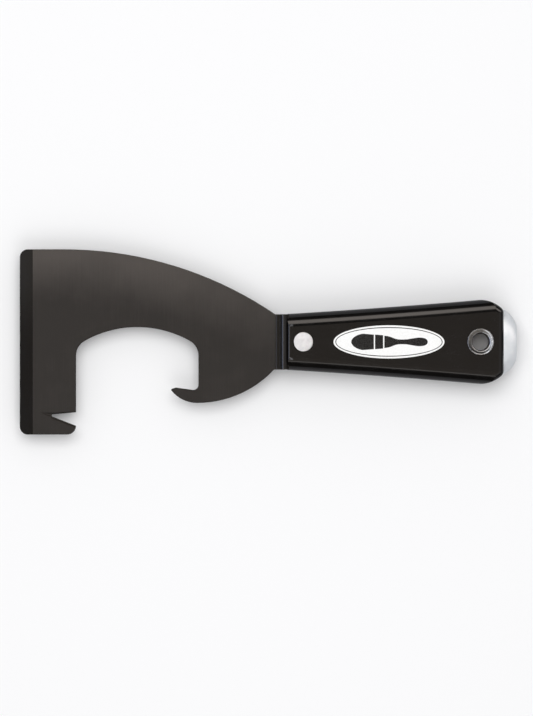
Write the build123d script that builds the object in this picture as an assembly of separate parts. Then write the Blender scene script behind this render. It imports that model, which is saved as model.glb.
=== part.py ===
from build123d import *
import os
from math import atan2, cos, degrees, pi, sin, sqrt

# A painter's scraper multi tool, lying flat on the lower half of its handle.
# +X runs along the tool towards the hammer cap, +Y towards the blade's long curved edge, +Z up.
# The origin is under the middle of the tool's length, on the surface that the tool lies on.

# ---- overall, millimetres ----
LENGTH = 204.3              # scraping edge to striking face
BLADE_WIDTH = 76.2          # a 3 in scraping edge
STEEL = 2.0                 # blade and tang thickness
HANDLE_THICK = 17.0
MID_Z = HANDLE_THICK / 2    # the plane of the handle's seam and the middle of the steel
FRONT_X = -LENGTH / 2
REAR_X = LENGTH / 2
TOP_Y = BLADE_WIDTH / 2

# ---- blade ----
BEVEL_RUN = 5.4             # width of the ground chisel facet
EDGE_THICK = 0.35           # flat left on the scraping edge
CORNER_R = 3.3              # both ends of the scraping edge
BACK_STRAIGHT_X = -83.8     # the curved back starts here
BACK_R = 154.3              # long convex back, down to the neck
NECK_HALF = 11.35
NECK_FILLET = 0.8
BELLY_X = -29.1             # lowest point of the neck's underside, and of the hook
BELLY_R = 43.2
BELLY_CENTRE_Y = 18.1
HOOK_R = 13.7               # outside of the hook
HOOK_TIP_ANGLE = 216.0      # degrees round the hook's centre
HOOK_CREST = (-37.8, -18.75)
HOOK_ROOT_Y = -20.1
HOOK_ROOT_R = 2.2
HOOK_TIP_R = 0.5
HOOK_CREST_R = 1.2
ARM_X = -79.0               # inner side of the front arm
HOOK_WALL_X = -28.6         # inner side of the hook's root
CROWN_R = 44.2              # crown of the half-round cut-out, centred on the blade's lower edge line
CROWN_CORNER_R = 7.0
NOTCH_UPPER_Y = -28.95      # mouth of the V notch
NOTCH_LOWER_Y = -34.5
NOTCH_APEX = (-90.7, -29.95)
NOTCH_APEX_R = 0.5
NOTCH_MOUTH_R = 0.3
NOTCH_GRIND = 0.7           # bevel ground along the notch's edges
NOTCH_LEAN = 0.2            # the grinding reaches this much further on the lower side
WHEEL_RUN_OUT = 6.4         # shallow groove that the grinding wheel leaves past the notch
WHEEL_GROOVE_R = 0.9
WHEEL_LIFT = 0.15
EDGE_BREAK = 0.2            # tumbled edge of the stamping

# ---- handle ----
HANDLE_FRONT_X = 3.3
HANDLE_REAR_X = 96.7
WAIST_X = 46.2
WAIST_HALF = 14.05
SIDE_FRONT_HALF = 11.5
SIDE_REAR_HALF = 18.1       # where the sides would meet the rear face without its corners
SLANT_X = 91.3              # where a side meets the slanted corner
SLANT_HALF = 17.65
SLANT_END_HALF = 13.2       # where the slanted corner meets the rear face
SIDE_CORNER_R = 13.0
REAR_CORNER_R = 2.8
SHOULDER_R = 5.5            # rounding along the sides of each flat panel
REAR_ROUND = 2.5            # narrow rounding round the rear end
BODY_FRONT_X = 8.0          # the panel and its shoulders start here, behind the bead
LIP_X = 4.7                 # low lip round the blade's neck
LIP_HEIGHT = 4.6            # above the seam
BEAD_X = 6.5                # cross bead at the front of the handle
BEAD_HEIGHT = 8.3
BEAD_STEP = 0.5             # run of the steep face in front of the bead
BEAD_RISE = 1.2             # height of the bead's round
BEAD_END_BREAK = 0.35
GROOVE_HEIGHT = 7.5
SEAM_BREAK = 0.2            # small V where the two halves meet
PEG_X = 70.0                # locating pegs between the halves
PEG_Y = 12.5
PEG_R = 1.5
PEG_LENGTH = 1.6
PEG_GAP = 0.05

# ---- tang and hammer cap ----
TANG_HALF = 9.0
TANG_GAP = 0.15             # between the tang's edges and the handle halves
TENON_HALF = 4.0
PEEN_DEPTH = 0.9            # peened head of the tenon, in the striking face
PEEN_SPREAD = 0.6
CAP_HALF_Y = 13.3
CAP_HALF_Z = 7.75
FACE_HALF_Y = 6.9           # flat striking face
FACE_HALF_Z = 5.3
CAP_ROUND_POWER = 1.4       # shape of the rounding between the cap's base and its face
CAP_STATIONS = 7
CAP_GAP = 0.05

# ---- rivets ----
HEAD_BELOW = 0.15           # rivet heads lie this far below the panels
RIVET_X = 14.5
RIVET_HEAD_R = 3.97         # 5/16 in head
RIVET_HEAD_THICK = 1.0
RIVET_BARREL_R = 2.4
RIVET_SHANK_R = 1.6
RIVET_GAP = 0.04
RIVET_SEAT_GAP = 0.2        # ring round each head
RIVET_GRIP = 12.5           # shank length
RIVET_BARREL_SHORT = 0.5    # left between the sleeve's end and the post's head
HOLE_X = 87.3
EYELET_BORE_R = 3.5         # 7 mm hanging hole
EYELET_BARREL_R = 4.0
EYELET_FLANGE_R = 5.5
EYELET_FLANGE_THICK = 0.8
EYELET_GAP = 0.05
EYELET_FUNNEL = 0.9         # rounding from the flange into the bore

CLEAR = 2.0                 # how far a cutter reaches past what it cuts
NEAR = 0.01                 # two places closer than this are the same place
PANEL_NEAR = 0.1            # an edge higher than this below the panel belongs to it
REAR_REACH = 6.0            # edges this far ahead of the slanted corners belong to the rear end
LONG_EDGE = 20.0            # only the side shoulders have edges this long

TANG_REAR_X = HANDLE_REAR_X
PEEN_X = REAR_X - PEEN_DEPTH
SKIN_Z = STEEL / 2
HEAD_TOP = MID_Z - HEAD_BELOW


def nearest_vertex(shape, point):
    """The corner of a flat outline nearest to a point."""
    return min(shape.vertices(), key=lambda v: (Vector(v) - Vector(point)).length)


def on_circle(centre, radius, angle):
    """The point of a circle at an angle in radians."""
    return (centre[0] + radius * cos(angle), centre[1] + radius * sin(angle))


def arc_between(centre, radius, start, end):
    """The arc of a circle from one of its angles to another, in radians."""
    return ThreePointArc(
        on_circle(centre, radius, start),
        on_circle(centre, radius, (start + end) / 2),
        on_circle(centre, radius, end),
    )


def box_between(low, high):
    """A box given by its lowest and highest corners."""
    size = [high[i] - low[i] for i in range(3)]
    middle = [(high[i] + low[i]) / 2 for i in range(3)]
    return Pos(*middle) * Box(*size)


def blade_outline():
    """The whole stamping seen from above: scraper, cut-out, hook, neck, tang and tenon."""
    back = (BACK_STRAIGHT_X, TOP_Y - BACK_R)
    back_end = atan2(NECK_HALF - back[1], sqrt(BACK_R**2 - (NECK_HALF - back[1]) ** 2))
    belly = (BELLY_X, BELLY_CENTRE_Y)
    belly_rise = -NECK_HALF - belly[1]
    belly_start = atan2(belly_rise, sqrt(BELLY_R**2 - belly_rise**2))
    hook = (BELLY_X, BELLY_CENTRE_Y - BELLY_R + HOOK_R)
    hook_tip = HOOK_TIP_ANGLE * pi / 180 - 2 * pi
    crown = ((ARM_X + HOOK_WALL_X) / 2, -TOP_Y)
    crown_right = atan2(sqrt(CROWN_R**2 - (HOOK_WALL_X - crown[0]) ** 2), HOOK_WALL_X - crown[0])
    crown_left = pi - crown_right

    back_arc = arc_between(back, BACK_R, pi / 2, back_end)
    belly_arc = arc_between(belly, BELLY_R, belly_start, -pi / 2)
    hook_arc = arc_between(hook, HOOK_R, -pi / 2, hook_tip)
    crown_arc = arc_between(crown, CROWN_R, crown_right, crown_left)
    jaw = (ARM_X - (NOTCH_LOWER_Y + TOP_Y), NOTCH_LOWER_Y)
    jaw_arc = arc_between(jaw, ARM_X - jaw[0], 0, -pi / 2)

    tang = Polyline(
        back_arc @ 1,
        (HANDLE_FRONT_X, NECK_HALF),
        (HANDLE_FRONT_X, TANG_HALF),
        (TANG_REAR_X, TANG_HALF),
        (TANG_REAR_X, TENON_HALF),
        (PEEN_X, TENON_HALF),
        (PEEN_X, -TENON_HALF),
        (TANG_REAR_X, -TENON_HALF),
        (TANG_REAR_X, -TANG_HALF),
        (HANDLE_FRONT_X, -TANG_HALF),
        (HANDLE_FRONT_X, -NECK_HALF),
        belly_arc @ 0,
    )
    hook_top = Polyline(hook_arc @ 1, HOOK_CREST, (HOOK_WALL_X, HOOK_ROOT_Y), crown_arc @ 0)
    arm_and_notch = Polyline(crown_arc @ 1, (ARM_X, NOTCH_UPPER_Y), NOTCH_APEX, jaw_arc @ 0)
    scraper = Polyline(jaw_arc @ 1, (FRONT_X, -TOP_Y), (FRONT_X, TOP_Y), back_arc @ 0)
    edges = [back_arc, tang, belly_arc, hook_arc, hook_top, crown_arc, arm_and_notch, jaw_arc, scraper]
    outline = make_face(Curve() + edges)

    corners = [
        ((FRONT_X, TOP_Y), CORNER_R),
        ((FRONT_X, -TOP_Y), CORNER_R),
        (back_arc @ 1, NECK_FILLET / 2),
        (belly_arc @ 0, NECK_FILLET),
        (hook_arc @ 1, HOOK_TIP_R),
        (HOOK_CREST, HOOK_CREST_R),
        ((HOOK_WALL_X, HOOK_ROOT_Y), HOOK_ROOT_R),
        (crown_arc @ 0, CROWN_CORNER_R),
        (crown_arc @ 1, CROWN_CORNER_R),
        ((ARM_X, NOTCH_UPPER_Y), NOTCH_MOUTH_R),
        (NOTCH_APEX, NOTCH_APEX_R),
        (jaw_arc @ 0, NOTCH_MOUTH_R),
    ]
    for point, radius in corners:
        outline = fillet(nearest_vertex(outline, point), radius)
    return outline


def chisel_cut():
    """What the grinding of the scraping edge takes off, from the upper face only."""
    slope = (STEEL - EDGE_THICK) / BEVEL_RUN
    ahead = (FRONT_X - CLEAR, SKIN_Z - (BEVEL_RUN + CLEAR) * slope)
    heel = (FRONT_X + BEVEL_RUN, SKIN_Z)
    section = Polyline(ahead, heel, (heel[0], SKIN_Z + CLEAR), (ahead[0], SKIN_Z + CLEAR), ahead)
    face = make_face(Plane.XZ * section)
    return extrude(face, BLADE_WIDTH, both=True)


def wheel_groove():
    """The shallow tapering groove past the V notch's apex."""
    mouth = (ARM_X, (NOTCH_UPPER_Y + NOTCH_LOWER_Y) / 2)
    heading = degrees(atan2(NOTCH_APEX[1] - mouth[1], NOTCH_APEX[0] - mouth[0]))
    groove = Cone(WHEEL_GROOVE_R, 0.0, WHEEL_RUN_OUT, align=(Align.CENTER, Align.CENTER, Align.MIN))
    start = (NOTCH_APEX[0] + WHEEL_RUN_OUT / 3, NOTCH_APEX[1], SKIN_Z + WHEEL_LIFT)
    return Pos(*start) * Rot(0, 0, heading) * Rot(0, 90, 0) * groove


def tenon_head():
    """The tenon's peened head, which spreads towards the striking face."""
    neck = Plane.YZ.offset(PEEN_X) * Rectangle(2 * TENON_HALF, STEEL)
    spread = Rectangle(2 * (TENON_HALF + PEEN_SPREAD), STEEL + 2 * PEEN_SPREAD)
    end = Plane.YZ.offset(REAR_X) * spread
    return loft([neck.face(), end.face()])


def notch_wedge(grow):
    """The V notch seen from above, widened all round by an amount, and open at its mouth."""
    upper_slope = (NOTCH_UPPER_Y - NOTCH_APEX[1]) / (ARM_X - NOTCH_APEX[0])
    lower_slope = (NOTCH_LOWER_Y - NOTCH_APEX[1]) / (ARM_X - NOTCH_APEX[0])
    upper_mouth = (ARM_X + CLEAR, NOTCH_UPPER_Y + CLEAR * upper_slope)
    lower_mouth = (ARM_X + CLEAR, NOTCH_LOWER_Y + CLEAR * lower_slope)
    wedge = make_face(Polyline(NOTCH_APEX, upper_mouth, lower_mouth, NOTCH_APEX))
    if grow:
        wedge = offset(wedge, grow, kind=Kind.INTERSECTION)
    return fillet(nearest_vertex(wedge, NOTCH_APEX), NOTCH_APEX_R + grow)


def notch_grinding():
    """What is ground off along the notch's upper edges, more on its lower side."""
    deep = Pos(0, 0, SKIN_Z - NOTCH_GRIND) * notch_wedge(0)
    wide = Pos(0, -2 * NOTCH_LEAN, SKIN_Z + NOTCH_GRIND) * notch_wedge(2 * NOTCH_GRIND)
    return loft([deep.face(), wide.face()])


def blade():
    """The steel stamping, with its grinding, its rivet holes and its peened tenon."""
    steel = extrude(blade_outline(), SKIN_Z, both=True)
    rim = steel.edges().filter_by(lambda e: abs(abs(e.center().Z) - SKIN_Z) < NEAR)
    rim = rim.filter_by(lambda e: FRONT_X + CORNER_R < e.center().X < HANDLE_FRONT_X - EDGE_BREAK)
    steel = chamfer(rim, EDGE_BREAK)
    steel = steel - chisel_cut() - notch_grinding() - wheel_groove()
    steel = steel - Pos(RIVET_X, 0, 0) * Cylinder(RIVET_BARREL_R + RIVET_GAP, 2 * STEEL)
    steel = steel - Pos(HOLE_X, 0, 0) * Cylinder(EYELET_BARREL_R + EYELET_GAP, 2 * STEEL)
    return steel + tenon_head()


def handle_plan():
    """The handle behind its bead, seen from above, before its rear corners are rounded."""
    sides = []
    for side in (1, -1):
        front = (BODY_FRONT_X, side * SIDE_FRONT_HALF)
        waist = (WAIST_X, side * WAIST_HALF)
        rear = (HANDLE_REAR_X, side * SIDE_REAR_HALF)
        sides.append(ThreePointArc(front, waist, rear))
    upper, lower = sides
    return make_face(Curve() + [upper, Line(upper @ 1, lower @ 1), lower, Line(lower @ 0, upper @ 0)])


def rounded_handle_plan():
    """The same outline with its slanted and rounded rear corners."""
    plan = handle_plan()
    for side in (1, -1):
        start = Vector(SLANT_X, side * SLANT_HALF)
        end = Vector(HANDLE_REAR_X, side * SLANT_END_HALF)
        run = end - start
        outside = Vector(HANDLE_REAR_X, side * 2 * SIDE_REAR_HALF)
        plan = plan - make_face(Polyline(start - run, end + run, outside, start - run))
        plan = fillet(nearest_vertex(plan, start), SIDE_CORNER_R)
        plan = fillet(nearest_vertex(plan, end), REAR_CORNER_R)
    return plan


def bead_block():
    """The front end of a handle half: a low lip, a steep step and a cross bead."""
    step_x = LIP_X + BEAD_STEP
    foot = (step_x, BEAD_HEIGHT - BEAD_RISE)
    crest = (BEAD_X, BEAD_HEIGHT)
    fall = (BODY_FRONT_X, GROOVE_HEIGHT)
    lip = (HANDLE_FRONT_X, LIP_HEIGHT)
    rise = Polyline((BODY_FRONT_X, 0), (HANDLE_FRONT_X, 0), lip, (LIP_X, LIP_HEIGHT), foot)
    section = Curve() + [rise, ThreePointArc(foot, crest, fall), Line(fall, (BODY_FRONT_X, 0))]
    block = extrude(make_face(Plane.XZ * section), NECK_HALF, both=True)
    return chamfer(block.edges().filter_by(is_bead_end), BEAD_END_BREAK)


def is_bead_end(edge):
    """Whether an edge bounds the bead block's side faces, or the front of its low lip."""
    middle = edge.center()
    above_seam = middle.Z > NEAR
    side = abs(abs(middle.Y) - NECK_HALF) < NEAR and middle.X < BODY_FRONT_X - NEAR
    lip = abs(middle.X - HANDLE_FRONT_X) < NEAR
    return above_seam and (side or lip)


def handle_body():
    """A handle half behind its bead: flat panel, rounded shoulders, rounded rear end."""
    body = extrude(handle_plan(), MID_Z)
    upper = body.edges().filter_by(lambda e: e.center().Z > MID_Z - PANEL_NEAR)
    upper = upper.filter_by(is_shoulder_line)
    body = fillet(upper, SHOULDER_R)
    body = body & extrude(rounded_handle_plan(), MID_Z)
    front = body.edges().filter_by(lambda e: abs(e.center().X - BODY_FRONT_X) < NEAR)
    front = front.filter_by(lambda e: e.center().Z > MID_Z - SHOULDER_R)
    body = chamfer(front, MID_Z - GROOVE_HEIGHT)
    rear = body.edges().filter_by(is_rear_rim)
    return fillet(rear, REAR_ROUND)


def is_rear_rim(edge):
    """Whether an edge runs round the handle's rear end, above its upright walls."""
    middle = edge.center()
    rounded = middle.X > SLANT_X - REAR_REACH and middle.Z > MID_Z - SHOULDER_R - PANEL_NEAR
    upright = edge.geom_type == GeomType.LINE and abs(edge.tangent_at(0.5).Z) > 1 - NEAR
    return rounded and not upright and not is_shoulder_line(edge)


def is_shoulder_line(edge):
    """Whether an edge runs along a side of the handle."""
    return edge.bounding_box().size.X > LONG_EDGE


def handle_half():
    """One handle half, its seam face on Z = 0 and its panel up, without its locating pegs."""
    half = handle_body() + bead_block()
    pocket_half = TANG_HALF + TANG_GAP
    low = (HANDLE_FRONT_X - CLEAR, -pocket_half, -CLEAR)
    half = half - box_between(low, (HANDLE_REAR_X + CLEAR, pocket_half, SKIN_Z))
    half = half - counterbored(RIVET_X, RIVET_BARREL_R + RIVET_GAP,
                               RIVET_HEAD_R + RIVET_SEAT_GAP, RIVET_HEAD_THICK)
    half = half - counterbored(HOLE_X, EYELET_BARREL_R + EYELET_GAP,
                               EYELET_FLANGE_R + RIVET_SEAT_GAP, EYELET_FLANGE_THICK)
    return chamfer(half.edges().filter_by(is_seam_rim), SEAM_BREAK)


def is_seam_rim(edge):
    """Whether an edge is on the outside of the face where the handle halves meet."""
    box = edge.bounding_box()
    in_seam = abs(box.min.Z) < NEAR and abs(box.max.Z) < NEAR
    middle = edge.center()
    by_tang = abs(abs(middle.Y) - TANG_HALF - TANG_GAP) < NEAR
    inside = abs(middle.Y) < TANG_HALF
    return in_seam and not by_tang and not inside


def counterbored(x, hole_r, seat_r, head_thick):
    """A rivet hole with a seat for its head, in a handle half."""
    floor = HEAD_TOP - head_thick
    seat = Pos(x, 0, floor) * Cylinder(seat_r, MID_Z, align=(Align.CENTER, Align.CENTER, Align.MIN))
    return seat + Pos(x, 0, 0) * Cylinder(hole_r, 2 * MID_Z + CLEAR)


def peg(radius, length):
    """Two round pegs that stand up or down from the seam, one each side of the tang."""
    pegs = [Pos(PEG_X, side * PEG_Y, 0) * Cylinder(radius, 2 * length) for side in (1, -1)]
    return pegs[0] + pegs[1]


def upper_scale():
    """The upper handle half, with sockets for the locating pegs."""
    return handle_half() - peg(PEG_R + PEG_GAP, PEG_LENGTH + PEG_GAP)


def lower_scale():
    """The lower handle half, the mirror of the upper, with the locating pegs."""
    half = mirror(handle_half(), Plane.XY)
    return half + peg(PEG_R, PEG_LENGTH)


def hammer_cap():
    """The oval metal cap, rounded down to its flat striking face, slotted for the tenon."""
    depth = REAR_X - HANDLE_REAR_X
    ovals = []
    for i in range(CAP_STATIONS):
        along = sin(i / (CAP_STATIONS - 1) * pi / 2)
        left = (1 - along**CAP_ROUND_POWER) ** (1 / CAP_ROUND_POWER)
        half_y = FACE_HALF_Y + left * (CAP_HALF_Y - FACE_HALF_Y)
        half_z = FACE_HALF_Z + left * (CAP_HALF_Z - FACE_HALF_Z)
        place = Plane.YZ.offset(HANDLE_REAR_X + along * depth)
        ovals.append((place * Ellipse(half_y, half_z)).face())
    cap = loft(ovals)
    low = (HANDLE_REAR_X - CLEAR, -TENON_HALF - CAP_GAP, -SKIN_Z - CAP_GAP)
    cap = cap - box_between(low, (PEEN_X, TENON_HALF + CAP_GAP, SKIN_Z + CAP_GAP))
    return cap - tenon_head()


def rivet_head(x):
    """A flat rivet head with a softened rim, its top a little below the panel."""
    head = Pos(x, 0, HEAD_TOP) * Cylinder(
        RIVET_HEAD_R, RIVET_HEAD_THICK, align=(Align.CENTER, Align.CENTER, Align.MAX)
    )
    rim = head.edges().filter_by(lambda e: e.center().Z > HEAD_TOP - NEAR)
    return fillet(rim, RIVET_HEAD_THICK / 4)


def front_rivet_post():
    """The rivet half with the solid shank, its head in the upper panel."""
    under = HEAD_TOP - RIVET_HEAD_THICK
    shank = Pos(RIVET_X, 0, under) * Cylinder(
        RIVET_SHANK_R, RIVET_GRIP, align=(Align.CENTER, Align.CENTER, Align.MAX)
    )
    return rivet_head(RIVET_X) + shank


def front_rivet_sleeve():
    """The rivet half with the tubular shank, its head in the lower panel."""
    head = mirror(rivet_head(RIVET_X), Plane.XY)
    under = -HEAD_TOP + RIVET_HEAD_THICK
    length = 2 * HEAD_TOP - 2 * RIVET_HEAD_THICK - RIVET_BARREL_SHORT
    up = (Align.CENTER, Align.CENTER, Align.MIN)
    barrel = Pos(RIVET_X, 0, under) * Cylinder(RIVET_BARREL_R, length, align=up)
    bore = Pos(RIVET_X, 0, under + RIVET_HEAD_THICK) * Cylinder(RIVET_SHANK_R + RIVET_GAP, length, align=up)
    return head + barrel - bore


def turned(x, edges):
    """A solid of revolution about an upright axis, from a closed half section of (radius, height)."""
    section = make_face(Plane.XZ * (Curve() + edges))
    return Pos(x, 0, 0) * revolve(section, Axis.Z)


def hanging_eyelet():
    """The tubular rivet: flange on top, a bore through the handle, its lower end rolled out."""
    under = HEAD_TOP - EYELET_FLANGE_THICK
    wall = EYELET_BARREL_R - EYELET_BORE_R
    flare = EYELET_FLANGE_THICK
    roll_r = EYELET_FLANGE_THICK / 2
    mouth = Polyline(
        (EYELET_BORE_R + EYELET_FUNNEL, HEAD_TOP),
        (EYELET_FLANGE_R - roll_r, HEAD_TOP),
    )
    rim = ThreePointArc(
        mouth @ 1,
        (EYELET_FLANGE_R - roll_r + roll_r * cos(pi / 4), HEAD_TOP - roll_r + roll_r * sin(pi / 4)),
        (EYELET_FLANGE_R, HEAD_TOP - roll_r),
    )
    outside = Polyline(
        rim @ 1,
        (EYELET_FLANGE_R, under),
        (EYELET_BARREL_R, under),
        (EYELET_BARREL_R, -under),
        (EYELET_BARREL_R + flare, -HEAD_TOP),
        (EYELET_BARREL_R + flare - wall, -HEAD_TOP),
        (EYELET_BORE_R, -under),
        (EYELET_BORE_R, HEAD_TOP - EYELET_FUNNEL),
    )
    bend = EYELET_FUNNEL * (1 - cos(pi / 4))
    funnel = ThreePointArc(outside @ 1, (EYELET_BORE_R + bend, HEAD_TOP - bend), mouth @ 0)
    return turned(HOLE_X, [mouth, rim, outside, funnel])


def hanging_eyelet_ring():
    """The flanged back ring that the eyelet's lower end is rolled over."""
    under = HEAD_TOP - EYELET_FLANGE_THICK
    section = Polyline(
        (EYELET_BARREL_R, -under),
        (EYELET_FLANGE_R, -under),
        (EYELET_FLANGE_R, -HEAD_TOP),
        (EYELET_BARREL_R + EYELET_FLANGE_THICK, -HEAD_TOP),
        (EYELET_BARREL_R, -under),
    )
    return turned(HOLE_X, [section])


NODES = {
    "blade": blade,
    "upper_scale": upper_scale,
    "lower_scale": lower_scale,
    "hammer_cap": hammer_cap,
    "front_rivet_post": front_rivet_post,
    "front_rivet_sleeve": front_rivet_sleeve,
    "hanging_eyelet": hanging_eyelet,
    "hanging_eyelet_ring": hanging_eyelet_ring,
}

os.makedirs("parts", exist_ok=True)
for name, make in NODES.items():
    export_step(Pos(0, 0, MID_Z) * make(), f"parts/{name}.step")
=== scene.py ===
import bpy
import bmesh
from math import acos, atan2, cos, hypot, pi, radians, sin, sqrt, tan
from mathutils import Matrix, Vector


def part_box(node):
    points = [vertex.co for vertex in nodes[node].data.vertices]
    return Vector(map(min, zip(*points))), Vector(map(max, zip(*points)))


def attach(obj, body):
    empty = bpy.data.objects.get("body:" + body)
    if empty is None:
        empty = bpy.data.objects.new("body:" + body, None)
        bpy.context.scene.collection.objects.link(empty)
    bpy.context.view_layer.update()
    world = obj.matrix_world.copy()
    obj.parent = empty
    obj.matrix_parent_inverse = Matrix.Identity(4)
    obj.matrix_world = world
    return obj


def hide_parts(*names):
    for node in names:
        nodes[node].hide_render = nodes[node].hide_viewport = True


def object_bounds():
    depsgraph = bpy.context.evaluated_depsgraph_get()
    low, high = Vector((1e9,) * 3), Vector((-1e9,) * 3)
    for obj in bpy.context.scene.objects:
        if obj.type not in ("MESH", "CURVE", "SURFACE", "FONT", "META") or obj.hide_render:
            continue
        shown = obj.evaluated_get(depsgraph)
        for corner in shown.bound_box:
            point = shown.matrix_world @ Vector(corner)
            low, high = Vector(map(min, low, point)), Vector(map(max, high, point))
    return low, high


# The looks of a painter's scraper multi tool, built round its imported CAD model.
# Pieces are worked out in millimetres from the handle's seam plane, then set in the frame in metres.
# +X runs towards the hammer cap, +Y towards the blade's curved back, +Z up.

MM = 0.001

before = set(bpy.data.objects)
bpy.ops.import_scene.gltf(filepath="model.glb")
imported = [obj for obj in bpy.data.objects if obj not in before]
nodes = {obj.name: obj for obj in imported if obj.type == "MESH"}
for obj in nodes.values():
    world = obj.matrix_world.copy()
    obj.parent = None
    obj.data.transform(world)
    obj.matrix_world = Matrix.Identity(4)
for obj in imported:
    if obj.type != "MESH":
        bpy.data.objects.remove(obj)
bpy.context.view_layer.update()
low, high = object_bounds()
MID_Z = (low.z + high.z) / 2


# ---- where the frame has things, in millimetres from the seam plane ----

def box_mm(name):
    """A CAD node's lowest and highest corners, in millimetres, with Z from the seam plane."""
    lowest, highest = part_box(name)
    lift = Vector((0, 0, MID_Z))
    return (lowest - lift) / MM, (highest - lift) / MM


handle_low, handle_high = box_mm("upper_scale")
cap_low, cap_high = box_mm("hammer_cap")
post_low, post_high = box_mm("front_rivet_post")
eyelet_low, eyelet_high = box_mm("hanging_eyelet")
blade_low, blade_high = box_mm("blade")

FRONT_X, REAR_X = handle_low.x, handle_high.x
PANEL_Z = handle_high.z
HEAD_TOP = post_high.z
RIVET_X = (post_low.x + post_high.x) / 2
RIVET_HEAD_R = (post_high.x - post_low.x) / 2
HOLE_X = (eyelet_low.x + eyelet_high.x) / 2
FLANGE_R = (eyelet_high.x - eyelet_low.x) / 2
EDGE_X, BACK_Y = blade_low.x, blade_high.y

# ---- shapes, millimetres ----
INK = 0.012                 # thickness of each printed layer
PANEL_SKIN = PANEL_Z - 2 * INK
BODY_X = 8.0                # the panel and its shoulders start here
SHOULDER_R = 5.5
REAR_ROUND = 2.5
SEAM_BREAK = 0.2
FRONT_ROUND = 1.0           # rounding along the panel's front edge
SIDE_POINTS = ((8.0, 11.5), (46.2, 14.05), (96.7, 18.1))
SLANT = ((91.3, 17.65), (96.7, 13.2))
SIDE_CORNER_R = 13.0
REAR_CORNER_R = 2.8
LEAST_CORNER_R = 0.25
CORNER_SEARCH_X = 70.0      # the side meets the slant somewhere behind this
REAR_START_X = 80.0         # the rear outline takes over from the side behind this
LEAD = 20.0                 # length of side that the rear outline starts with
BEAD_HALF = 11.35
LIP_X, LIP_Z, LIP_ROUND = 4.7, 4.6, 0.3
BEAD_FOOT, BEAD_CREST, BEAD_FALL = (5.2, 7.1), (6.5, 8.3), (8.0, 7.5)
BEAD_END = 0.35             # the bead's two ends stand this much higher, over this length
BEAD_OVERLAP = 0.6          # how far the bead reaches into the body behind it
TANG_HALF = 9.15
SKIN_Z = 1.0                # half the tang's thickness
BARREL_R, SHANK_R = 2.4, 1.6
TURNED_GAP = 0.04           # between the rivet's barrel, its shank and its hole
SHANK_REACH = 12.5          # from the post's head to the end of its shank
BARREL_SHORT = 0.5          # the barrel stops this far below the post's head
HEAD_CROWN, HEAD_ROUND = 0.05, 0.25
BORE_R, TUBE_R = 3.5, 4.0
SEAT_GAP = 0.2
RIVET_THICK, FLANGE_THICK = 1.0, 0.8
FLANGE_ROLL, FUNNEL_R, FUNNEL_DROP = 0.28, 0.72, 0.17
DISH = ((0.40, 0.02), (0.52, 0.07), (0.68, 0.10), (1.25, 0.15))     # inwards from the rim, and down
RING_ROLL, RING_GAP, RING_BREAK = 0.25, 0.06, 0.1
TUBE_GAP = 0.05             # between the eyelet's tube and what is round it
CAP_FACE_Y, CAP_FACE_Z = 6.9, 5.3
CAP_POWER = 1.4             # roundness of the cap's side, 2 for an ellipse
PEEN_X = 101.25             # the tenon's slot starts to widen here
PEEN_BACK, PEEN_FACE = (4.0, 1.0), (4.6, 1.6)
PEEN_GAP = 0.05
PAST = 1.0                  # how far cutters reach past what they cut


# ---- mesh helpers ----

def solid(name, points, faces):
    """A mesh object from points in millimetres, with its faces turned outwards."""
    mesh = bpy.data.meshes.new(name)
    mesh.from_pydata([Vector(p) * MM + Vector((0, 0, MID_Z)) for p in points], [], faces)
    work = bmesh.new()
    work.from_mesh(mesh)
    bmesh.ops.remove_doubles(work, verts=work.verts, dist=1e-7)
    bmesh.ops.recalc_face_normals(work, faces=work.faces)
    work.to_mesh(mesh)
    work.free()
    piece = bpy.data.objects.new(name, mesh)
    bpy.context.collection.objects.link(piece)
    return piece


def skin_rings(rings, wrap=False, caps=True):
    """Points and faces of a skin over closed rings with equal numbers of points."""
    count = len(rings[0])
    points = [p for ring in rings for p in ring]
    faces = []
    spans = len(rings) if wrap else len(rings) - 1
    for i in range(spans):
        here, after = i * count, (i + 1) % len(rings) * count
        for j in range(count):
            k = (j + 1) % count
            faces.append((here + j, here + k, after + k, after + j))
    if caps and not wrap:
        faces.append(tuple(range(count)))
        faces.append(tuple(range(len(points) - count, len(points))))
    return points, faces


def turned(name, centre_x, profile, wrap=False, count=96):
    """A solid of revolution about an upright axis, from (radius, height) points."""
    turns = [2 * pi * i / count for i in range(count)]
    rings = [[(centre_x + r * cos(a), r * sin(a), z) for a in turns] for r, z in profile]
    return solid(name, *skin_rings(rings, wrap, caps=False))


def combine(target, cutter, operation):
    """Adds a cutter to a piece or takes it away, and keeps the result as the piece's mesh."""
    modifier = target.modifiers.new("combine", "BOOLEAN")
    modifier.object = cutter
    modifier.operation = operation
    modifier.solver = "EXACT"
    view = bpy.context.evaluated_depsgraph_get()
    mesh = bpy.data.meshes.new_from_object(target.evaluated_get(view))
    target.modifiers.clear()
    target.data = mesh
    bpy.data.objects.remove(cutter)
    return target


def box_piece(x0, x1, y0, y1, z0, z1):
    """A plain box, to cut with."""
    ring = [(x0, y0), (x1, y0), (x1, y1), (x0, y1)]
    return solid("cutter", *skin_rings([[(x, y, z) for x, y in ring] for z in (z0, z1)]))


def quarter(radius, steps):
    """Cosine and sine times a radius, for angles from 0 to 90 degrees."""
    angles = [pi / 2 * i / steps for i in range(steps + 1)]
    return [(radius * cos(a), radius * sin(a)) for a in angles]


CREASE = 28                 # degrees: sharper turns than this stay sharp in the shading


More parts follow.
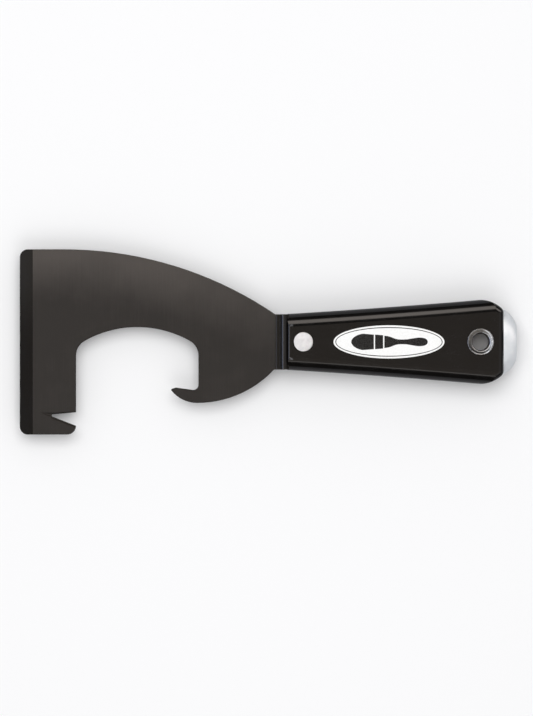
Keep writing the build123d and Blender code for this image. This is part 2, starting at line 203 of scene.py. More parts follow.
def settle(piece, material, stands_for=None):
    """Smooth shading with sharp creases, the piece's material, its body and its CAD node."""
    mesh = piece.data
    mesh.materials.clear()
    mesh.materials.append(material)
    mesh.polygons.foreach_set("use_smooth", [True] * len(mesh.polygons))
    mesh.set_sharp_from_angle(angle=radians(CREASE))
    shading = piece.modifiers.new("even_shading", "WEIGHTED_NORMAL")
    shading.keep_sharp = True
    shading.weight = 100
    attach(piece, "root")
    if stands_for:
        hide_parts(stands_for)


# ---- the handle's halves ----

def circle_through(a, b, c):
    """Centre and radius of the circle through three points."""
    ax, ay = b[0] - a[0], b[1] - a[1]
    bx, by = c[0] - a[0], c[1] - a[1]
    twice = 2 * (ax * by - ay * bx)
    ux = (by * (ax * ax + ay * ay) - ay * (bx * bx + by * by)) / twice
    uy = (ax * (bx * bx + by * by) - bx * (ax * ax + ay * ay)) / twice
    return (a[0] + ux, a[1] + uy), hypot(ux, uy)


SIDE_CENTRE, SIDE_R = circle_through(*SIDE_POINTS)


def side_y(x, inset):
    """Half width of the handle at x, with its side moved inwards."""
    return SIDE_CENTRE[1] - sqrt((SIDE_R + inset) ** 2 - (x - SIDE_CENTRE[0]) ** 2)


def rounded_corner(before, corner, after, radius, steps):
    """Points of the arc that rounds a corner between two straight runs."""
    a = (Vector(before) - Vector(corner)).normalized()
    b = (Vector(after) - Vector(corner)).normalized()
    half = acos(max(-1.0, min(1.0, a.dot(b)))) / 2
    reach = radius / tan(half)
    centre = Vector(corner) + (a + b).normalized() * (radius / sin(half))
    start, end = Vector(corner) + a * reach - centre, Vector(corner) + b * reach - centre
    turn = atan2(start.x * end.y - start.y * end.x, start.dot(end))
    found = []
    for i in range(steps + 1):
        angle = turn * i / steps
        found.append((centre.x + start.x * cos(angle) - start.y * sin(angle),
                      centre.y + start.x * sin(angle) + start.y * cos(angle)))
    return found


def rear_outline(inset):
    """The handle's rear end from its +Y side to the middle, moved inwards, finely divided."""
    (x1, y1), (x2, y2) = SLANT
    run = Vector((x2 - x1, y2 - y1)).normalized()
    inward = Vector((run.y, -run.x))
    slant = Vector((x1, y1)) + inward * inset
    slope = run.y / run.x
    rear_x = x2 - inset

    def slant_y(x):
        return slant.y + slope * (x - slant.x)

    fine = 0.01
    steps = 0
    while side_y(CORNER_SEARCH_X + steps * fine, inset) < slant_y(CORNER_SEARCH_X + steps * fine):
        steps += 1
    meet_x = CORNER_SEARCH_X + steps * fine
    corner_side = (meet_x, side_y(meet_x, inset))
    corner_rear = (rear_x, slant_y(rear_x))
    ahead = (meet_x - LEAD, side_y(meet_x - LEAD, inset))
    first = rounded_corner(ahead, corner_side, corner_rear, SIDE_CORNER_R - inset, 120)
    rear_r = max(REAR_CORNER_R - inset, LEAST_CORNER_R)
    second = rounded_corner(corner_side, corner_rear, (rear_x, 0), rear_r, 60)
    lead_x = [first[0][0] - LEAD + i * 0.1 for i in range(200)]
    lead = [(x, side_y(x, inset)) for x in lead_x]
    between = [tuple(Vector(first[-1]).lerp(Vector(second[0]), i / 40)) for i in range(1, 40)]
    straight = [(rear_x, second[-1][1] * (1 - i / 100)) for i in range(1, 101)]
    return lead + first + between + second + straight


TURN_WEIGHT = 6.0           # millimetres of path that one radian of turning counts for


def spread_points(path, count):
    """Points along a path, closer together where it turns."""
    measure = [0.0]
    for i in range(1, len(path)):
        a, b = Vector(path[i - 1]), Vector(path[i])
        step = (b - a).length
        turning = 0.0
        if i + 1 < len(path):
            c = Vector(path[i + 1])
            if step > 1e-9 and (c - b).length > 1e-9:
                turning = (b - a).angle(c - b)
        measure.append(measure[-1] + step + TURN_WEIGHT * turning)
    found, j = [], 0
    for i in range(count + 1):
        wanted = measure[-1] * i / count
        while j < len(path) - 2 and measure[j + 1] < wanted:
            j += 1
        gap = measure[j + 1] - measure[j]
        share = 0 if gap <= 0 else min(1.0, (wanted - measure[j]) / gap)
        found.append(tuple(Vector(path[j]).lerp(Vector(path[j + 1]), share)))
    return found


def handle_ring(z, side_inset, rear_inset, front_x):
    """One level of the handle behind its bead, seen from above."""
    rear = rear_outline(rear_inset)
    departing = max(side_inset, rear_inset + 0.01)
    start = next(i for i, p in enumerate(rear) if p[0] > REAR_START_X and p[1] < side_y(p[0], departing))
    meeting_x = rear[start][0]
    side_count, rear_count = 40, 44
    along = [front_x + (meeting_x - front_x) * i / side_count for i in range(side_count)]
    half = [(x, side_y(x, side_inset)) for x in along]
    half += spread_points([(meeting_x, side_y(meeting_x, side_inset))] + rear[start + 1:], rear_count)
    mirrored = [(x, -y) for x, y in reversed(half[:-1])]
    return [(x, y, z) for x, y in half + mirrored]


def handle_body():
    """The handle half behind its bead: flat panel, round shoulders, narrow round at the rear."""
    straight = PANEL_SKIN - SHOULDER_R
    levels = [(0.0, SEAM_BREAK, SEAM_BREAK, BODY_X)]
    levels += [(z, 0.0, 0.0, BODY_X) for z in (SEAM_BREAK, straight)]
    shoulder_steps = 26
    for across, up in quarter(SHOULDER_R, shoulder_steps)[1:]:
        z = straight + up
        above = max(0.0, z - (PANEL_SKIN - REAR_ROUND))
        rear = REAR_ROUND - sqrt(max(0.0, REAR_ROUND ** 2 - above ** 2))
        over = max(0.0, z - (PANEL_SKIN - FRONT_ROUND))
        front = BODY_X + FRONT_ROUND - sqrt(max(0.0, FRONT_ROUND ** 2 - over ** 2))
        levels.append((z, SHOULDER_R - across, rear, front))
    rings = [handle_ring(*level) for level in levels]
    return solid("handle", *skin_rings(rings))


def bead_section():
    """The bead's side view: low lip, steep step, round bead."""
    (cx, cz), radius = circle_through(BEAD_FOOT, BEAD_CREST, BEAD_FALL)
    start = atan2(BEAD_FOOT[1] - cz, BEAD_FOOT[0] - cx)
    end = atan2(BEAD_FALL[1] - cz, BEAD_FALL[0] - cx)
    steps = 28
    arc = [(cx + radius * cos(start + (end - start) * i / steps),
            cz + radius * sin(start + (end - start) * i / steps)) for i in range(steps + 1)]
    lip = [(FRONT_X + LIP_ROUND - c, LIP_Z - LIP_ROUND + s) for c, s in quarter(LIP_ROUND, 5)]
    back_x = BODY_X + BEAD_OVERLAP
    return [(back_x, 0), (FRONT_X, 0)] + lip + [(LIP_X, LIP_Z)] + arc + [(back_x, BEAD_FALL[1])]


def bead_block():
    """The bead and its lip across the handle, standing slightly higher at their two ends."""
    section = bead_section()
    ends = [(BEAD_HALF - BEAD_END + across, up) for across, up in quarter(BEAD_END, 6)]
    stations = [(-y, shrink) for y, shrink in ends] + [(y, shrink) for y, shrink in reversed(ends)]
    made = []
    for y, shrink in stations:
        made.append([(x, y, max(0.0, z - shrink)) for x, z in section])
    return solid("bead", *skin_rings(made))


def seat_cutter(x, hole_r, seat_r, floor):
    """What a hole through the handle half takes away, with a wider seat in the panel."""
    bottom, top = -PAST, PANEL_Z + PAST
    profile = [(0, bottom), (hole_r, bottom), (hole_r, floor), (seat_r, floor), (seat_r, top), (0, top)]
    return turned("cutter", x, profile)


def handle_half(name):
    """The upper handle half, with its tang pocket and the seats of the rivet and the eyelet."""
    half = combine(handle_body(), bead_block(), "UNION")
    pocket = box_piece(FRONT_X - PAST, REAR_X + PAST, -TANG_HALF, TANG_HALF, -PAST, SKIN_Z)
    rivet_seat = seat_cutter(RIVET_X, BARREL_R, RIVET_HEAD_R + SEAT_GAP, HEAD_TOP - RIVET_THICK)
    eyelet_seat = seat_cutter(HOLE_X, TUBE_R, FLANGE_R + SEAT_GAP, HEAD_TOP - FLANGE_THICK)
    for cutter in (pocket, rivet_seat, eyelet_seat):
        combine(half, cutter, "DIFFERENCE")
    half.name = name
    half.data.name = name
    return half


def flipped(piece, name):
    """A copy of a piece mirrored in the seam plane."""
    mesh = piece.data.copy()
    for vertex in mesh.vertices:
        vertex.co.z = 2 * MID_Z - vertex.co.z
    mesh.flip_normals()
    mesh.name = name
    copy = bpy.data.objects.new(name, mesh)
    bpy.context.collection.objects.link(copy)
    return copy


# ---- cap, rivet and eyelet ----

def ellipse(x, half_y, half_z):
    """An upright ellipse across the tool at x."""
    count = 128
    turns = [2 * pi * i / count for i in range(count)]
    return [(x, half_y * cos(a), half_z * sin(a)) for a in turns]


def cap_piece():
    """The oval hammer cap, rounded to its flat face, with the slot of the peened tenon."""
    depth = cap_high.x - cap_low.x
    half_y, half_z = cap_high.y, cap_high.z
    rings = []
    steps = 26
    for i in range(steps + 1):
        along = sin(i / steps * pi / 2)
        left = (1 - along ** CAP_POWER) ** (1 / CAP_POWER)
        rings.append(ellipse(cap_low.x + along * depth, CAP_FACE_Y + left * (half_y - CAP_FACE_Y),
                             CAP_FACE_Z + left * (half_z - CAP_FACE_Z)))
    cap = solid("cap", *skin_rings(rings))
    slot_y, slot_z = PEEN_BACK[0] + PEEN_GAP, PEEN_BACK[1] + PEEN_GAP
    combine(cap, box_piece(cap_low.x - PAST, PEEN_X, -slot_y, slot_y, -slot_z, slot_z), "DIFFERENCE")
    overlap, out = 0.01, 0.5
    grow = (PEEN_FACE[0] - PEEN_BACK[0]) / (cap_high.x - PEEN_X)
    ends = []
    for x in (PEEN_X - overlap, cap_high.x + out):
        y = slot_y + grow * (x - PEEN_X)
        z = slot_z + grow * (x - PEEN_X)
        ends.append([(x, -y, -z), (x, y, -z), (x, y, z), (x, -y, z)])
    combine(cap, solid("cutter", *skin_rings(ends)), "DIFFERENCE")
    cap.name = "hammer_cap_plated"
    return cap


def head_profile():
    """A rivet head from its middle outwards and down, slightly crowned."""
    crowned_r = RIVET_HEAD_R * 0.92
    shares = (0, 0.3, 0.6, 0.8, 1.0)
    top = [(crowned_r * share, HEAD_TOP - HEAD_CROWN * share ** 2) for share in shares]
    inner, level = RIVET_HEAD_R - HEAD_ROUND, HEAD_TOP - HEAD_CROWN - HEAD_ROUND
    rim = [(inner + c, level + s) for s, c in quarter(HEAD_ROUND, 6)]
    return top + rim + [(RIVET_HEAD_R, HEAD_TOP - RIVET_THICK)]


def rivet_post():
    """The front rivet's upper half: its head and its solid shank."""
    under = HEAD_TOP - RIVET_THICK
    bottom = under - SHANK_REACH
    profile = head_profile() + [(SHANK_R, under), (SHANK_R, bottom), (0, bottom)]
    return turned("front_rivet_head", RIVET_X, profile)


def rivet_sleeve():
    """The front rivet's lower half: its head and the barrel round the shank."""
    head = [(r, -z) for r, z in head_profile()]
    under = -HEAD_TOP + RIVET_THICK
    floor = under + RIVET_THICK
    top = HEAD_TOP - RIVET_THICK - BARREL_SHORT
    outer, inner = BARREL_R - TURNED_GAP, SHANK_R + TURNED_GAP
    barrel = [(outer, under), (outer, top), (inner, top), (inner, floor), (0, floor)]
    return turned("front_rivet_back", RIVET_X, head + barrel)


def eyelet_piece():
    """The eyelet: dished flange with a rolled rim, funnel into the bore, lower end rolled out."""
    under = HEAD_TOP - FLANGE_THICK
    rim_r, rim_z = FLANGE_R - FLANGE_ROLL, HEAD_TOP - FLANGE_ROLL
    rim = [(rim_r + c, rim_z + s) for c, s in quarter(FLANGE_ROLL, 8)]
    dish = [(FLANGE_R - inwards, HEAD_TOP - down) for inwards, down in DISH]
    funnel_z = HEAD_TOP - FUNNEL_DROP - FUNNEL_R
    funnel = [(BORE_R + FUNNEL_R - s, funnel_z + c) for c, s in quarter(FUNNEL_R, 10)]
    flare = FLANGE_THICK
    outer_flare = flare * (1 - 0.25 * (TUBE_R - BORE_R))
    outer_drop = flare * 0.93
    turn = quarter(1.0, 8)
    roll_out = [(BORE_R + flare * (1 - c), -under - flare * s) for c, s in turn]
    roll_in = [(TUBE_R + outer_flare * (1 - c), -under - outer_drop * s) for c, s in reversed(turn)]
    neck = [(TUBE_R - TUBE_GAP, under), (FLANGE_R, under)]
    profile = rim + dish + funnel + roll_out + roll_in + neck
    return turned("hanging_eyelet_tube", HOLE_X, profile, wrap=True, count=128)


def eyelet_ring():
    """The back ring that the eyelet's lower end is rolled over."""
    under = HEAD_TOP - FLANGE_THICK
    rim_r, rim_z = FLANGE_R - RING_ROLL, -HEAD_TOP + RING_ROLL
    rim = [(rim_r + c, rim_z - s) for c, s in quarter(RING_ROLL, 6)]
    inner = TUBE_R + FLANGE_THICK + RING_GAP
    inner_edge = [(inner + RING_BREAK, -HEAD_TOP), (inner, -HEAD_TOP + RING_BREAK)]
    profile = [(TUBE_R + TUBE_GAP, -under), (FLANGE_R, -under)] + rim + inner_edge
    return turned("hanging_eyelet_washer", HOLE_X, profile, wrap=True, count=128)


# ---- the printed badge ----

def plate(name, outline, z_low, z_high):
    """A thin flat piece with an outline seen from above."""
    return solid(name, *skin_rings([[(x, y, z) for x, y in outline] for z in (z_low, z_high)]))


BADGE_X, BADGE_HALF_X, BADGE_HALF_Y = 49.6, 22.75, 6.8
LINE_INSET, LINE_WIDTH = 0.75, 0.35


def oval(half_x, half_y):
    """An ellipse round the badge's middle, seen from above."""
    count = 160
    turns = [2 * pi * i / count for i in range(count)]
    return [(BADGE_X + half_x * cos(a), half_y * sin(a)) for a in turns]


def oval_band(name, outer, inner, z_low, z_high):
    """A thin ring between two ovals."""
    rings = []
    for half, z in ((outer, z_low), (outer, z_high), (inner, z_high), (inner, z_low)):
        rings.append([(x, y, z) for x, y in oval(*half)])
    return solid(name, *skin_rings(rings, wrap=True))


def bezier(a, b, c, d, steps):
    """Points along a cubic curve, without its last one."""
    found = []
    for i in range(steps):
        t = i / steps
        u = 1 - t
        shares = (u ** 3, 3 * u * u * t, 3 * u * t * t, t ** 3)
        found.append(tuple(sum(s * p[k] for s, p in zip(shares, (a, b, c, d))) for k in (0, 1)))
    return found


def brush_parts():
    """A plain paintbrush lying along the badge: bristles, ferrule and handle, as half outlines."""
    bristles = bezier((-15.5, 0.0), (-15.4, 1.6), (-13.2, 3.1), (-10.6, 3.35), 14)
    bristles += [(-10.6, 3.35), (-6.2, 3.0)]
    ferrule = [(-5.7, 3.0), (-2.4, 2.75)]
    handle = [(-1.9, 2.5)] + bezier((-1.6, 2.5), (1.8, 2.2), (1.6, 1.0), (5.2, 0.95), 12)
    handle += bezier((5.2, 0.95), (9.0, 0.95), (10.5, 1.9), (13.2, 1.75), 12)
    handle += bezier((13.2, 1.75), (15.2, 1.6), (15.9, 0.9), (15.9, 0.0), 10)
    return {"bristles": bristles, "ferrule": ferrule, "handle": handle}


def whole_outline(half):
    """A closed outline from its upper half, which may start or end on the middle line."""
    upper = [(BADGE_X + x, y) for x, y in half]
    lower = [(x, -y) for x, y in reversed(upper) if abs(y) > 1e-9]
    return upper + lower


# ---- material helpers ----

def new_material(name):
    """A material with its Principled shader and the tree that shader is in."""
    material = bpy.data.materials.new(name)
    material.use_nodes = True
    tree = material.node_tree
    return material, tree, tree.nodes["Principled BSDF"]


def node(tree, kind, inputs=None, **settings):
    """A shader node with its settings, and with its inputs set or linked by name or number."""
    made = tree.nodes.new(kind)
    for key, value in settings.items():
        setattr(made, key, value)
    for key, value in (inputs or {}).items():
        if isinstance(value, bpy.types.NodeSocket):
            tree.links.new(value, made.inputs[key])
        else:
            made.inputs[key].default_value = value
    return made


def maths(tree, operation, a, b=0.0, clamp=False):
    """One arithmetic step on values or sockets."""
    return node(tree, "ShaderNodeMath", {0: a, 1: b}, operation=operation, use_clamp=clamp).outputs[0]


def smooth_range(tree, value, start, end, low_value=0.0, high_value=1.0):
    """A value mapped smoothly from one range to another."""
    inputs = {"Value": value, "From Min": start, "From Max": end, "To Min": low_value, "To Max": high_value}
    return node(tree, "ShaderNodeMapRange", inputs, interpolation_type="SMOOTHSTEP").outputs["Result"]


def mix_colour(tree, amount, a, b, blend="MIX"):
    """Two colours mixed by an amount."""
    made = node(tree, "ShaderNodeMix", data_type="RGBA", blend_type=blend)
    for index, value in ((0, amount), (6, a), (7, b)):
        if isinstance(value, bpy.types.NodeSocket):
            tree.links.new(value, made.inputs[index])
        else:
            made.inputs[index].default_value = value
    return made.outputs[2]


def place(tree):
    """The point's place in the frame, in metres."""
    return node(tree, "ShaderNodeTexCoord").outputs["Object"]


def axes_mm(tree):
    """The point's X, Y and Z in millimetres."""
    scaled = node(tree, "ShaderNodeVectorMath", {0: place(tree), 3: 1 / MM}, operation="SCALE").outputs[0]
    parts = node(tree, "ShaderNodeSeparateXYZ", {0: scaled}).outputs
    return parts[0], parts[1], parts[2]


def noise(tree, grain, stretch=(1, 1, 1), detail=4.0, roughness=0.55):
    """Noise whose grain is about so many millimetres, divided by a stretch along each axis."""
    scale = tuple(s / (grain * MM) for s in stretch)
    mapping = node(tree, "ShaderNodeMapping", {"Vector": place(tree), "Scale": scale})
    made = node(tree, "ShaderNodeTexNoise", {"Vector": mapping.outputs[0], "Scale": 1.0,
                "Detail": detail, "Roughness": roughness})
    return made.outputs["Fac"]


def bump(tree, height, distance, under=None):
    """A bump whose full height is a distance in millimetres."""
    inputs = {"Height": height, "Distance": distance * MM, "Strength": 1.0}
    if under is not None:
        inputs["Normal"] = under
    return node(tree, "ShaderNodeBump", inputs).outputs["Normal"]


def scratches(tree, grain, stretch, width):
    """Thin broken lines where stretched noise crosses its middle value."""
    off = maths(tree, "ABSOLUTE", maths(tree, "SUBTRACT", noise(tree, grain, stretch, 2.0), 0.5))
    return smooth_range(tree, off, width, 0.0)


def radius_from(tree, x, y, centre_x, centre_y=0.0):
    """Distance from an upright line."""
    dx, dy = maths(tree, "SUBTRACT", x, centre_x), maths(tree, "SUBTRACT", y, centre_y)
    squares = [maths(tree, "MULTIPLY", side, side) for side in (dx, dy)]
    return maths(tree, "SQRT", maths(tree, "ADD", *squares))


def times(tree, value, factor):
    """A value or socket times a number."""
    return maths(tree, "MULTIPLY", value, factor)


# ---- materials ----

BACK_ARC_X, BACK_ARC_R = -83.8, 154.3       # where the blade's back starts to curve, and its radius
FACET_WIDTH, FACET_Z = 5.4, 7.62            # the scraping edge's ground facet, and a height just below it


def blade_material():
    """Black oxide on ground steel: lines along Y, a back made lighter partly by painted sheen and partly by
    a lighter finish, a worn edge and a bare tenon.
    """
    material, tree, shader = new_material("black_oxide_steel")
    x, y, z = axes_mm(tree)
    # Painted sheen: the blade is made lighter along its curved back, fading towards the front; in part a
    # lighter finish there.
    past_straight = maths(tree, "MAXIMUM", x, BACK_ARC_X)
    from_centre = radius_from(tree, past_straight, y, BACK_ARC_X, BACK_Y - BACK_ARC_R)
    from_back = maths(tree, "SUBTRACT", BACK_ARC_R, from_centre)
    glow = smooth_range(tree, from_back, 24.0, -2.0)
    glow = maths(tree, "MULTIPLY", glow, smooth_range(tree, x, 4.0, -45.0, 0.35, 1.0))

    mottle = noise(tree, 14.0, detail=5.0)
    lines = noise(tree, 0.22, (1.0, 0.012, 1.0), detail=3.0)
    heavy = scratches(tree, 0.9, (1.0, 0.02, 1.0), 0.012)
    amount = maths(tree, "ADD", glow, smooth_range(tree, mottle, 0.3, 0.7, -0.08, 0.08))
    amount = maths(tree, "ADD", amount, smooth_range(tree, lines, 0.25, 0.75, -0.06, 0.06), clamp=True)
    # The lighter colour carries the painted sheen along the back as well as the mottle and the grinding
    # lines.
    colour = mix_colour(tree, amount, (0.0132, 0.0108, 0.0088, 1), (0.059, 0.051, 0.045, 1))

    # Painted shade on the ground facet: its colour is far darker than the blade's, and lighter towards +Y
    # as a painted reflection.
    past_heel = maths(tree, "LESS_THAN", x, EDGE_X + FACET_WIDTH)
    on_facet = maths(tree, "MULTIPLY", past_heel, maths(tree, "GREATER_THAN", z, FACET_Z))
    facet_painted_shade, facet_painted_sheen = (0.0036, 0.0032, 0.0030, 1), (0.016, 0.0148, 0.0138, 1)
    facet_colour = mix_colour(tree, smooth_range(tree, y, -5.0, 36.0), facet_painted_shade, facet_painted_sheen)
    colour = mix_colour(tree, on_facet, colour, facet_colour)

    worn = smooth_range(tree, noise(tree, 2.0, (1.0, 0.4, 1.0)), 0.42, 0.62)
    edge = maths(tree, "MULTIPLY", smooth_range(tree, x, EDGE_X + 0.3, EDGE_X + 0.05), worn)
    colour = mix_colour(tree, times(tree, edge, 0.6), colour, (0.20, 0.195, 0.19, 1))
    peened = smooth_range(tree, x, cap_high.x - 0.25, cap_high.x - 0.1)
    colour = mix_colour(tree, peened, colour, (0.34, 0.335, 0.33, 1))
    tree.links.new(colour, shader.inputs["Base Color"])

    rough = smooth_range(tree, noise(tree, 3.0, (1.0, 0.15, 1.0)), 0.25, 0.75, 0.38, 0.46)
    for polished, by in ((heavy, 0.05), (on_facet, 0.25)):
        rough = maths(tree, "SUBTRACT", rough, times(tree, polished, by))
    tree.links.new(rough, shader.inputs["Roughness"])
    shader.inputs["Specular IOR Level"].default_value = 0.32
    normal = bump(tree, lines, 0.004)
    tree.links.new(bump(tree, noise(tree, 0.5, detail=2.0), 0.004, normal), shader.inputs["Normal"])
    return material


def handle_material():
    """Glossy black nylon, with faint orange peel, dust haze and handling scratches."""
    material, tree, shader = new_material("black_nylon")
    haze = noise(tree, 9.0, detail=6.0, roughness=0.6)
    clear, dusty = (0.0026, 0.0021, 0.0018, 1), (0.0042, 0.0036, 0.0033, 1)
    colour = mix_colour(tree, smooth_range(tree, haze, 0.3, 0.75), clear, dusty)
    tree.links.new(colour, shader.inputs["Base Color"])
    rough = smooth_range(tree, haze, 0.3, 0.75, 0.12, 0.17)
    fine = scratches(tree, 1.6, (0.25, 1.0, 1.0), 0.008)
    rough = maths(tree, "ADD", rough, times(tree, fine, 0.12))
    tree.links.new(rough, shader.inputs["Roughness"])
    peel = bump(tree, noise(tree, 1.6, detail=1.0), 0.0016)
    tree.links.new(bump(tree, fine, -0.0006, peel), shader.inputs["Normal"])
    shader.inputs["IOR"].default_value = 1.5
    return material


def cap_material():
    """Bright zinc plate, brushed across, with small dents and dull spots from hammering."""
    material, tree, shader = new_material("zinc_plate")
    x = axes_mm(tree)[0]
    brushed = noise(tree, 0.16, (1.0, 0.03, 0.03), detail=3.0)
    cloud = noise(tree, 3.2, detail=5.0)
    dim, bright = (0.76, 0.79, 0.82, 1), (0.83, 0.85, 0.87, 1)
    colour = mix_colour(tree, smooth_range(tree, cloud, 0.3, 0.7), dim, bright)
    dull = smooth_range(tree, noise(tree, 1.1, detail=5.0, roughness=0.7), 0.62, 0.76)
    at_face = smooth_range(tree, x, cap_high.x - 1.2, cap_high.x - 0.1)
    worn = maths(tree, "MULTIPLY", dull, maths(tree, "ADD", times(tree, at_face, 0.6), 0.15))
    colour = mix_colour(tree, worn, colour, (0.42, 0.42, 0.42, 1))
    tree.links.new(colour, shader.inputs["Base Color"])
    shader.inputs["Metallic"].default_value = 0.35
    rough = smooth_range(tree, brushed, 0.25, 0.75, 0.38, 0.50)
    tree.links.new(rough, shader.inputs["Roughness"])
    normal = bump(tree, brushed, 0.002)
    tree.links.new(bump(tree, dull, -0.01, normal), shader.inputs["Normal"])
    return material


def rivet_material():
    """Satin nickel turned on a lathe: faint rings round the rivet's middle."""
    material, tree, shader = new_material("satin_nickel")
    x, y = axes_mm(tree)[:2]
    radius = radius_from(tree, x, y, RIVET_X)
    rings = maths(tree, "SINE", times(tree, radius, 42.0))
    grain = noise(tree, 0.35, detail=5.0)
    cloud = noise(tree, 2.2, detail=3.0)
    dim, bright = (0.70, 0.70, 0.70, 1), (0.80, 0.80, 0.80, 1)
    colour = mix_colour(tree, smooth_range(tree, cloud, 0.3, 0.7), dim, bright)
    tree.links.new(colour, shader.inputs["Base Color"])
    shader.inputs["Metallic"].default_value = 0.85
    tree.links.new(smooth_range(tree, grain, 0.25, 0.75, 0.42, 0.54), shader.inputs["Roughness"])
    normal = bump(tree, rings, 0.0008)
    tree.links.new(bump(tree, grain, 0.003, normal), shader.inputs["Normal"])
    return material


def eyelet_material():
    """Nickel-plated steel, grimy in patches, browner and duller inside the bore."""
    material, tree, shader = new_material("nickel_plate")
    x, y = axes_mm(tree)[:2]
    radius = radius_from(tree, x, y, HOLE_X)
    grime = noise(tree, 0.9, detail=5.0)
    clean, grimy = (0.28, 0.285, 0.29, 1), (0.16, 0.163, 0.166, 1)
    colour = mix_colour(tree, smooth_range(tree, grime, 0.35, 0.75), clean, grimy)
    inside = smooth_range(tree, radius, BORE_R + 0.35, BORE_R + 0.05)
    colour = mix_colour(tree, times(tree, inside, 0.85), colour, (0.30, 0.27, 0.25, 1))
    tree.links.new(colour, shader.inputs["Base Color"])
    shader.inputs["Metallic"].default_value = 1.0
    plain_rough = smooth_range(tree, grime, 0.3, 0.7, 0.14, 0.24)
    rough = maths(tree, "ADD", plain_rough, times(tree, inside, 0.25))
    tree.links.new(rough, shader.inputs["Roughness"])
    rings = maths(tree, "SINE", times(tree, radius, 30.0))
    tree.links.new(bump(tree, rings, 0.0008, bump(tree, grime, 0.003)), shader.inputs["Normal"])
    return material


def ink_material(name, colour, dark, gloss):
    """Pad-printed ink: slightly uneven, with tiny dark pinholes."""
    material, tree, shader = new_material(name)
    uneven = noise(tree, 0.7, detail=6.0, roughness=0.65)
    spots = smooth_range(tree, noise(tree, 0.28, detail=2.0), 0.72, 0.78)
    shade = mix_colour(tree, smooth_range(tree, uneven, 0.3, 0.7), colour, dark)
    shade = mix_colour(tree, times(tree, spots, 0.2), shade, (0.05, 0.05, 0.05, 1))
    tree.links.new(shade, shader.inputs["Base Color"])
    tree.links.new(smooth_range(tree, uneven, 0.3, 0.7, gloss, gloss + 0.1), shader.inputs["Roughness"])
    tree.links.new(bump(tree, uneven, 0.002), shader.inputs["Normal"])
    return material


# ---- putting the pieces on the frame ----

def dress(name, material):
    """Gives a CAD node its material."""
    mesh = nodes[name].data
    mesh.materials.clear()
    mesh.materials.append(material)


dress("blade", blade_material())
nylon = handle_material()
upper = handle_half("handle_upper_half")
lower = flipped(upper, "handle_lower_half")
settle(upper, nylon, "upper_scale")
settle(lower, nylon, "lower_scale")
settle(cap_piece(), cap_material(), "hammer_cap")
satin = rivet_material()
settle(rivet_post(), satin, "front_rivet_post")
settle(rivet_sleeve(), satin, "front_rivet_sleeve")
nickel = eyelet_material()
settle(eyelet_piece(), nickel, "hanging_eyelet")
settle(eyelet_ring(), nickel, "hanging_eyelet_ring")

white_ink = ink_material("white_ink", (0.94, 0.94, 0.93, 1), (0.86, 0.86, 0.84, 1), 0.3)
black_ink = ink_material("black_ink", (0.004, 0.004, 0.004, 1), (0.009, 0.0085, 0.008, 1), 0.22)
badge_z = PANEL_SKIN + INK
white_oval = plate("badge_white", oval(BADGE_HALF_X, BADGE_HALF_Y), PANEL_SKIN - INK, badge_z)
settle(white_oval, white_ink)
outer = (BADGE_HALF_X - LINE_INSET, BADGE_HALF_Y - LINE_INSET)
inner = (outer[0] - LINE_WIDTH, outer[1] - LINE_WIDTH)
settle(oval_band("badge_line", outer, inner, PANEL_SKIN, badge_z + INK), black_ink)
for part, half in brush_parts().items():
    settle(plate("badge_" + part, whole_outline(half), PANEL_SKIN, badge_z + INK), black_ink)


# ---- floor, light and camera ----

def floor_material():
    """A plain pale floor, which the glossy pieces reflect much darker: painted shade in its reflection,
    standing in for the floor shadowed round the tool.
    """
    material, tree, shader = new_material("pale_floor")
    mirrored = node(tree, "ShaderNodeLightPath").outputs["Is Glossy Ray"]
    # Painted shade: glossy rays see the floor darker than it is.
    colour = mix_colour(tree, mirrored, (0.90, 0.90, 0.90, 1), (0.36, 0.36, 0.37, 1))
    tree.links.new(colour, shader.inputs["Base Color"])
    shader.inputs["Roughness"].default_value = 0.9
    shader.inputs["Specular IOR Level"].default_value = 0.0
    return material


FLOOR_SIZE = 6.0


def make_floor():
    """The floor that the tool lies on."""
    bpy.ops.mesh.primitive_plane_add(size=FLOOR_SIZE, location=(0, 0, low.z))
    floor = bpy.context.object
    floor.name = "floor"
    floor.data.materials.append(floor_material())


def softbox(name, angle_x, angle_y, distance, width, height, power):
    """A rectangular area light, for diffuse light only, leaning from overhead by two angles."""
    light = bpy.data.lights.new(name, "AREA")
    light.shape = "RECTANGLE"
    light.size, light.size_y = width, height
    light.energy = power
    lamp = bpy.data.objects.new(name, light)
    bpy.context.collection.objects.link(lamp)
    direction = Vector((tan(radians(angle_x)), tan(radians(angle_y)), 1)).normalized()
    lamp.location = direction * distance
    lamp.rotation_euler = (-direction).to_track_quat("-Z", "Y").to_euler()
    lamp.visible_glossy = False
    lamp.visible_camera = False


def panel(tree, lean_x, lean_y, x_range, y_range, soft, colour):
    """The glow of a distant light panel between two leans along X and two along Y, in degrees."""
    inside = None
    for lean, (start, end) in ((lean_x, x_range), (lean_y, y_range)):
        rise = smooth_range(tree, lean, start - soft, start + soft)
        fall = smooth_range(tree, lean, end + soft, end - soft)
        both = maths(tree, "MULTIPLY", rise, fall)
        inside = both if inside is None else maths(tree, "MULTIPLY", inside, both)
    return mix_colour(tree, inside, (0, 0, 0, 1), colour)


# Colours of the world, by the kind of ray that meets it.
BACKDROP = (0.52, 0.52, 0.53, 1)            # seen by the camera, as bright as the far floor
DOME = (0.575, 0.575, 0.585, 1)             # diffuse light from all round
DARK_STUDIO = (0.04, 0.04, 0.04, 1)         # reflected between the light panels
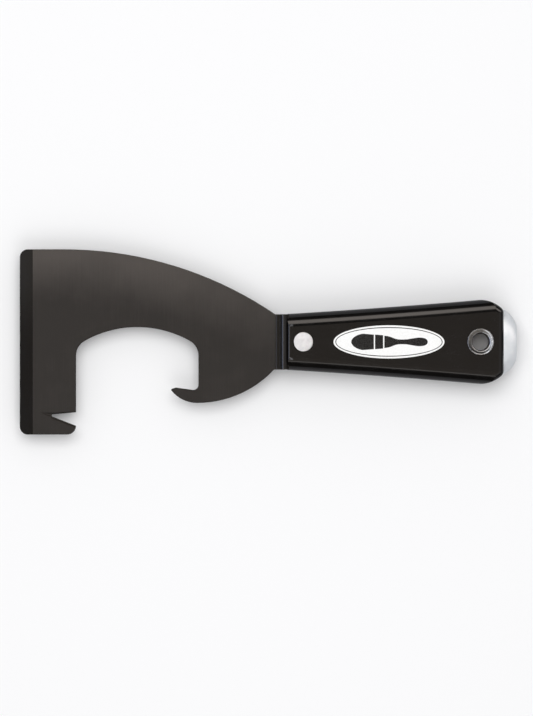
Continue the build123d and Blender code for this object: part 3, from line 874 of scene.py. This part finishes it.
# What the glossy surfaces reflect: leans along X and along Y, softness of the edges, and colour.
REFLECTED_PANELS = [
    ((-70, 75), (-32, 3), 2, (0.42, 0.365, 0.315, 1)),
    ((-70, 75), (26, 56), 4, (2.85, 2.6, 2.4, 1)),
    ((-60, 75), (-43, -35), 2, (1.7, 1.6, 1.5, 1)),
    ((-22, -10), (-50, 40), 2, (2.95, 3.0, 3.15, 1)),
    ((-70, -48), (-50, 40), 2, (1.9, 2.2, 3.1, 1)),
    ((25, 75), (-60, 60), 8, (0.15, 0.16, 0.18, 1)),
]


def make_world():
    """A backdrop for the camera, an even dome for diffuse light, and light panels for reflections."""
    world = bpy.data.worlds.new("studio")
    bpy.context.scene.world = world
    world.use_nodes = True
    tree = world.node_tree
    background = tree.nodes["Background"]
    direction = node(tree, "ShaderNodeTexCoord").outputs["Generated"]
    x, y, z = node(tree, "ShaderNodeSeparateXYZ", {0: direction}).outputs
    degrees = 180 / pi
    lean_x = maths(tree, "MULTIPLY", maths(tree, "ARCTAN2", x, z), degrees)
    lean_y = maths(tree, "MULTIPLY", maths(tree, "ARCTAN2", y, z), degrees)
    glow = DARK_STUDIO
    for x_range, y_range, soft, colour in REFLECTED_PANELS:
        shine = panel(tree, lean_x, lean_y, x_range, y_range, soft, colour)
        glow = mix_colour(tree, 1.0, glow, shine, "ADD")
    path = node(tree, "ShaderNodeLightPath").outputs
    colour = mix_colour(tree, path["Is Glossy Ray"], DOME, glow)
    colour = mix_colour(tree, path["Is Camera Ray"], colour, BACKDROP)
    tree.links.new(colour, background.inputs["Color"])


make_floor()
make_world()
softbox("key", angle_x=-4, angle_y=15, distance=1.4, width=1.1, height=0.9, power=9.8)
softbox("fill", angle_x=6, angle_y=-34, distance=1.1, width=0.6, height=0.6, power=1.5)


VIEW_X, VIEW_Y = -0.62 * MM, -6.61 * MM     # the middle of the picture
VIEW_HEIGHT = 294.4 * MM                    # how much the picture takes in from top to bottom
SCALE_LEVEL = 0.6                           # share of the tool's height at which it takes in that much
CAMERA_DISTANCE = 2.6


def make_camera():
    """Straight down over the tool, with a long lens."""
    camera = bpy.data.cameras.new("camera")
    camera.lens = camera.sensor_width * CAMERA_DISTANCE / VIEW_HEIGHT
    camera.clip_start, camera.clip_end = 0.05, 20
    rig = bpy.data.objects.new("camera", camera)
    bpy.context.collection.objects.link(rig)
    rig.location = (VIEW_X, VIEW_Y, high.z * SCALE_LEVEL + CAMERA_DISTANCE)
    bpy.context.scene.camera = rig


make_camera()
bpy.context.scene.view_settings.view_transform = "Standard"
